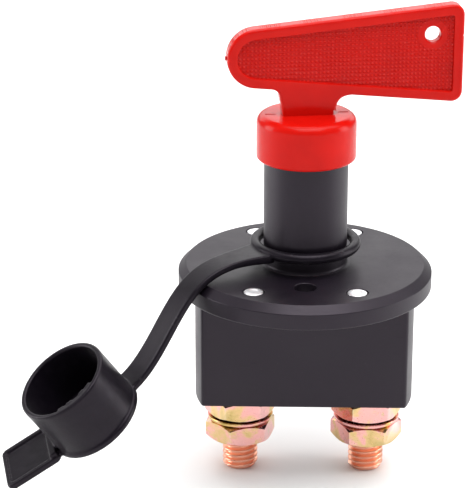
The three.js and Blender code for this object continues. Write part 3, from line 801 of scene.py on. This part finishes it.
def make_nut(name, material):
    """A hexagon cut by a cone at both faces, with a countersunk bore."""
    low, high, (centre, _) = middle(name)
    flats, bore_r, mouth_r, mouth_depth, bevel_depth = 17.0, 5.1, 6.1, 0.6, 1.25
    face_r, outer_r = flats / 2 - 0.35, flats / math.sqrt(3) + 0.3
    nut = slab("nut", hexagon(flats), low.z, high.z, 0, 0)
    cone = [
        (0, low.z), (face_r, low.z, 0.25), (outer_r, low.z + bevel_depth), (outer_r, high.z - bevel_depth),
        (face_r, high.z, 0.25), (0, high.z),
    ]
    combine(nut, lathe("cone", cone, 144), "INTERSECT")
    bore = [
        (0, low.z - 1), (mouth_r, low.z - 1), (bore_r, low.z + mouth_depth, 0.2),
        (bore_r, high.z - mouth_depth, 0.2), (mouth_r, high.z + 1), (0, high.z + 1),
    ]
    combine(nut, lathe("bore", bore, 72), "DIFFERENCE")
    place = Matrix.Translation(Vector((centre, 0, 0)) * MM)
    nut.data.transform(place @ Matrix.Rotation(math.radians(NUT_TURNS[name]), 4, "Z"))
    nut.name = f"{name}_fine"
    dress(smooth(nut, 24), material, "housing", "nut_zinc", name)


def make_washer(side, material):
    name = f"terminal_washer_{side}"
    low, high, spot = middle(name)
    inner, outer = 5.1, 9.0
    profile = [(inner, low.z, 0.1), (outer, low.z, 0.25), (outer, high.z, 0.25), (inner, high.z, 0.1)]
    piece = lathe(f"{name}_fine", profile, 128, (spot[0], 0))
    dress(smooth(piece), material, "housing", "nut_zinc", name)


def blade_half(x):
    """Half the blade's height at x."""
    return (x - BLADE["end_x"]) * math.tan(BLADE["flare"]) + BLADE["end_r"] / math.cos(BLADE["flare"])


def blade_ends(rim, corner):
    """The blade's three arcs, set in by the rim: lower right corner, upper right corner, left end."""
    b = BLADE
    flare = math.degrees(b["flare"])
    end_r = b["end_r"] - rim
    x = b["far"] - rim - corner
    y = (x - b["end_x"]) * math.tan(b["flare"]) + (end_r - corner) / math.cos(b["flare"])
    return (arc((x, b["height"] - y), corner, -90 - flare, 0, 8)
            + arc((x, b["height"] + y), corner, 0, 90 + flare, 8)
            + arc((b["end_x"], b["height"]), end_r, 90 + flare, 270 - flare, 40))


def key_outline(foot):
    """Neck and blade as one counter-clockwise outline in X and Z, starting at the neck's left foot."""
    foot_x, waist_x, root_x = 6.4, 6.4 + 0.5, 7.4
    right_r, left_r, steps = 4.2, 2.8, 9
    right_edge = BLADE["height"] - blade_half(root_x + right_r)
    left_edge = BLADE["height"] - blade_half(-root_x - left_r)
    out = [(foot_x, foot), (waist_x, (foot + right_edge) / 2)]
    out += bend((root_x, right_edge - right_r), (root_x, right_edge), (root_x + right_r, right_edge), steps)
    out += blade_ends(0, BLADE["corner"])
    out += bend((-root_x - left_r, left_edge), (-root_x, left_edge), (-root_x, left_edge - left_r), steps)
    return [*out, (-waist_x, (foot + left_edge) / 2), (-foot_x, foot)]


def stand_up(obj):
    """Turns a body drawn in X and Y with its thickness on Z so that it stands in X and Z."""
    obj.data.transform(Matrix.Rotation(math.pi / 2, 4, "X"))
    return obj


def recess_cutter(sign):
    """Cuts one face of the blade down to the web, with soft edges at the rim and at the floor."""
    web, face = BLADE["web"] / 2, BLADE["thick"] / 2
    wall = blade_ends(BLADE["rim"], 0.7)
    steps = ((0.30, web), (0.09, web + 0.09), (0.0, web + 0.3), (0.0, face - 0.35),
             (-0.07, face - 0.12), (-0.28, face + 0.02), (-0.28, face + 1))
    return stand_up(stack("recess", [[(x, y, sign * z) for x, y in inset(wall, grow)] for grow, z in steps]))


def ring_hole_cutter():
    b = BLADE
    web, past, mouth_r, outer_r = b["web"] / 2, 4, 2.5, 3.2
    profile = [
        (0, -past), (outer_r, -past), (mouth_r, -web - 0.05, 0.2), (b["hole_r"], -web + 0.35, 0.2),
        (b["hole_r"], web - 0.35, 0.2), (mouth_r, web + 0.05, 0.2), (outer_r, past), (0, past),
    ]
    drill = lathe("drill", profile, 48)
    place = Matrix.Translation(Vector((b["hole_x"], 0, b["hole_z"])) * MM)
    drill.data.transform(place @ Matrix.Rotation(math.pi / 2, 4, "X"))
    return drill


def gate_marks():
    """A nub of plastic on the blade's round end and a nick across its far edge."""
    b = BLADE
    left, half = b["end_x"] - b["end_r"], b["thick"] / 2
    nub = plain_box("gate_nub", (left - 0.4, -0.45, b["height"] - 0.5), (left + 0.6, 0.45, b["height"] + 0.5))
    notch = plain_box("gate_notch", (b["far"] - 0.35, -half - 1, b["hole_z"] - 0.6),
                      (b["far"] + 2, half + 1, b["hole_z"] - 0.1))
    return nub, notch


def collar_and_shaft(bottom, top):
    shaft_r, shaft_low, skirt_in, skirt_out, roof = 7.4, 14.3, 11.5, 13.2, 44.0
    profile = [
        (0, shaft_low), (shaft_r, shaft_low, 0.5), (shaft_r, roof, 0.3), (skirt_in, roof, 0.4),
        (skirt_in, bottom, 0.15), (skirt_out, bottom, 0.9), (skirt_out, top, 2.3), (8.0, top, 0.1),
        (0, top + 0.05),
    ]
    return lathe("collar", profile, 160)


def make_key(material):
    half, edge = BLADE["thick"] / 2, 0.8
    neck_foot, collar_bottom, collar_top, bit_top = 45.0, 35.5, 47.6, 16
    seam_length, seam_half, seam_rise = 2.7, 0.09, 0.10
    body = stand_up(slab("red_key", key_outline(neck_foot), -half, half, edge, edge, 5))
    for sign in (-1, 1):
        combine(body, recess_cutter(sign), "DIFFERENCE")
    combine(body, ring_hole_cutter(), "DIFFERENCE")
    nub, notch = gate_marks()
    combine(body, nub, "UNION")
    combine(body, notch, "DIFFERENCE")
    combine(body, collar_and_shaft(collar_bottom, collar_top), "UNION")
    for start in (-11.0, 8.3):
        seam = plain_box("seam", (start, -seam_half, collar_top - 0.06),
                         (start + seam_length, seam_half, collar_top + seam_rise))
        combine(body, seam, "UNION")
    bit = slab("bit", rounded_box_outline(3.75, 2.0, 0.4), BIT_BOTTOM, bit_top, 0.3, 0)
    combine(body, bit, "UNION")
    body.rotation_euler = (0, 0, KEY_TURN)
    smooth(body, 34)
    body.name = "red_key"
    dress(body, material, "key", "key_red", "key")


def strap_point(t):
    """The strap's centre line in its own upright plane, from the ring at 0 to the cap's base at 1."""
    root_z = 10.8
    end = (FLANGE_R + 18.9, FLANGE_TOP - 23.4)
    run_in = 10
    control = [
        (RING_R + 0.8, root_z), (FLANGE_R - 6.1, root_z), (FLANGE_R + 1.8, FLANGE_TOP + 3.9),
        (FLANGE_R + 5.9, FLANGE_TOP - 5.1),
        (end[0] - run_in * math.cos(STRAP_SLOPE), end[1] + run_in * math.sin(STRAP_SLOPE)), end,
    ]
    weights = [math.comb(5, i) * (1 - t) ** (5 - i) * t ** i for i in range(6)]
    return Vector((sum(w * p[0] for w, p in zip(weights, control)),
                   sum(w * p[1] for w, p in zip(weights, control))))


def strap_tangent(t):
    step = 0.002
    return (strap_point(min(t + step, 1)) - strap_point(max(t - step, 0))).normalized()


def strap_body():
    """The strap, wider where it grows out of the ring, run on a little into the cap's base."""
    half_width, half_thick, root_share = 4.1, 0.9, 0.16
    root_width, root_thick, root_overrun, cap_overrun = 1.3, 0.25, 1.6, 0.9
    steps = 64
    loops = []
    for k in range(-1, steps + 3):
        t = min(max(k / steps, 0), 1)
        centre, along = strap_point(t), strap_tangent(t)
        if k < 0:
            centre = centre - along * root_overrun
        if k > steps:
            centre = centre + along * cap_overrun * (k - steps)
        up = Vector((-along.y, along.x))
        root = max(0, 1 - t / root_share)
        section = rounded_box_outline(half_width + root_width * root * root,
                                      half_thick + root_thick * root, 0.4, 3)
        loops.append([(centre.x + up.x * v, u, centre.y + up.y * v) for u, v in section])
    return stack("strap", loops)


def cap_matrix():
    """Where the cap's base centre sits in the strap's plane, with the cap open upwards along its axis."""
    end = strap_point(1)
    reach, drop = CAP_LIP_R + CAP_GAP, 0.9
    x = end.x + reach * math.cos(STRAP_SLOPE) - drop * math.sin(STRAP_SLOPE)
    z = end.y - reach * math.sin(STRAP_SLOPE) - drop * math.cos(STRAP_SLOPE)
    return Matrix.Translation(Vector((x, 0, z)) * MM) @ Matrix.Rotation(STRAP_SLOPE, 4, "Y")


def cap_cup(place):
    base_high, floor = 1.5, 2.0
    profile = [
        (0, 0), (CAP_LIP_R, 0, 0.4), (CAP_LIP_R, base_high, 0.5), (CAP_OUTER_R, 1.9),
        (CAP_OUTER_R, CAP_DEPTH, 0.5), (CAP_INNER_R, CAP_DEPTH, 0.5), (CAP_INNER_R, floor, 0.8), (0, floor),
    ]
    return lathe("cup", profile, 160, axis_matrix=place)


def cap_rag(place, angle, length, depth):
    rag = plain_box("rag", (CAP_INNER_R - depth * 0.7, -length / 2, CAP_DEPTH - depth),
                    (CAP_INNER_R + 0.4, length / 2, 16.3))
    rag.data.transform(place @ Matrix.Rotation(math.radians(angle), 4, "Z"))
    return rag


def cap_tab(place):
    """The pull tab: a sunk panel inside a raised rim, with a step across its root."""
    start, end, half_width, thick = 11.8, CAP_LIP_R + 15, 7.6, 1.85
    panel_half, panel_rim, panel_floor, turn = 6.1, 1.5, 1.2, -21.7
    outline = rounded_box_outline((end - start) / 2, half_width, 1.6)
    tab = slab("tab", [(x + (start + end) / 2, y) for x, y in outline], 0, thick, 0.4, 0.35)
    panel = rounded_box_outline(panel_half, panel_half, 0.9)
    panel = [(x + CAP_LIP_R + panel_rim + panel_half, y) for x, y in panel]
    combine(tab, slab("panel", panel, panel_floor, 3, 0.2, 0), "DIFFERENCE")
    step = slab("step", rounded_box_outline(1.1, 6.9, 0.5), 0.3, 2.9, 0.3, 0.4)
    step.data.transform(Matrix.Translation(Vector((13.0, 0, 0)) * MM))
    combine(tab, step, "UNION")
    tab.data.transform(place @ Matrix.Rotation(math.radians(turn), 4, "Z"))
    return tab


def melt(obj, cell, rounds):
    """Turns joined bodies into one skin of small cells with the joins softened."""
    remesh = obj.modifiers.new("remesh", "REMESH")
    remesh.mode = "VOXEL"
    remesh.voxel_size = cell * MM
    apply_modifiers(obj)
    relax = obj.modifiers.new("relax", "SMOOTH")
    relax.factor = 0.5
    relax.iterations = rounds
    apply_modifiers(obj)


def cut_half(source, name, point, normal, keep_far):
    """A closed copy of one side of a body."""
    bm = bmesh.new()
    bm.from_mesh(source.data)
    geometry = list(bm.verts) + list(bm.edges) + list(bm.faces)
    result = bmesh.ops.bisect_plane(bm, geom=geometry, plane_co=point, plane_no=normal, dist=1e-8,
                                    clear_inner=keep_far, clear_outer=not keep_far)
    rim = [e for e in result["geom_cut"] if isinstance(e, bmesh.types.BMEdge)]
    bmesh.ops.contextual_create(bm, geom=rim)
    return smooth(new_object(name, bm), 60)


def make_tether(material):
    """Ring, strap and cap as one skin, cut once across the strap into an upper and a lower half, each left
    without a body.
    """
    ring_bulge, split_x, upper_end_x, lower_start_x = 1.45, 37, 30, 44
    tether = lathe("tether", arc((RING_R, RING_HEIGHT), ring_bulge, 0, 345, 23), 128)
    combine(tether, strap_body(), "UNION")
    place = cap_matrix()
    combine(tether, cap_cup(place), "UNION")
    for angle, length, depth in MOULD_FLASH:
        combine(tether, cap_rag(place, angle, length, depth), "UNION")
    combine(tether, cap_tab(place), "UNION")
    melt(tether, 0.27, 5)
    heading = Matrix.Rotation(STRAP_HEADING, 4, "Z")
    tether.data.transform(heading)

    def at(t):
        p = strap_point(t)
        return heading @ (Vector((p.x, 0, p.y)) * MM)

    def parameter(distance):
        return next(k / 500 for k in range(501) if strap_point(k / 500).x >= distance)

    split = parameter(split_x)
    along = strap_tangent(split)
    normal = heading @ Vector((along.x, 0, along.y))
    piece = cut_half(tether, "tether_upper", at(split), normal, keep_far=False)
    dress(piece, material, None, "tether_rubber", "tether_ring")
    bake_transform(piece)
    piece = cut_half(tether, "tether_lower", at(split), normal, keep_far=True)
    dress(piece, material, None, "tether_rubber", "tether_strap", "cover_cap")
    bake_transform(piece)
    bpy.data.objects.remove(tether, do_unlink=True)


def make_return_spring(material):
    """The coil that the contact carrier comes down on, copied from the frame and left without a body."""
    node = frame["nodes"]["return_spring"]
    spring = bpy.data.objects.new("return_coil", node.data.copy())
    bpy.context.scene.collection.objects.link(spring)
    spring.data.transform(node.matrix_world)
    dress(spring, material, None, "spring_steel", "return_spring")
    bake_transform(spring)


def paint_inner(steel, nylon, copper, rubber):
    finishes = {
        "cam_rotor": nylon, "contact_carrier": nylon, "thrust_washer": steel, "contact_spring": steel,
        "stem_clip": steel, "contact_bridge": copper, "shaft_seal": rubber,
    }
    for name, material in finishes.items():
        node = frame["nodes"][name]
        node.data.materials.clear()
        node.data.materials.append(material)


# ---- the part -----------------------------------------------------------------------------------

add_camera()
add_studio()
housing = housing_material()
rubber = rubber_material()
copper = metal_material("stud_copper", [(0.3, (0.92, 0.38, 0.24)), (0.7, (0.98, 0.52, 0.37))],
                        (0.26, 0.42), (300, 300, 5200))
zinc = metal_material("nut_zinc", [(0.34, (0.48, 0.34, 0.09)), (0.45, (0.64, 0.42, 0.16)),
                                   (0.51, (0.76, 0.35, 0.31)), (0.62, (0.72, 0.34, 0.33)),
                                   (0.72, (0.42, 0.41, 0.14))],
                      (0.14, 0.30), (1400, 1400, 2600), tint_scale=120, pits=0.2)
aluminium = metal_material("rivet_aluminium", [(0.3, (0.86, 0.86, 0.88)), (0.7, (0.95, 0.95, 0.97))],
                           (0.34, 0.55), (2600, 2600, 2600))
steel = metal_material("spring_steel", [(0.3, (0.50, 0.50, 0.52)), (0.7, (0.64, 0.64, 0.66))],
                       (0.2, 0.38), (1800, 1800, 3000))
make_housing(housing)
make_block(housing)
make_rivets(aluminium)
for stud_side in SIDES:
    make_stud(stud_side, copper)
    make_washer(stud_side, zinc)
for nut_name in NUT_TURNS:
    make_nut(nut_name, zinc)
make_key(key_material())
make_tether(rubber)
make_return_spring(steel)
paint_inner(steel, nylon_material(), copper, rubber)
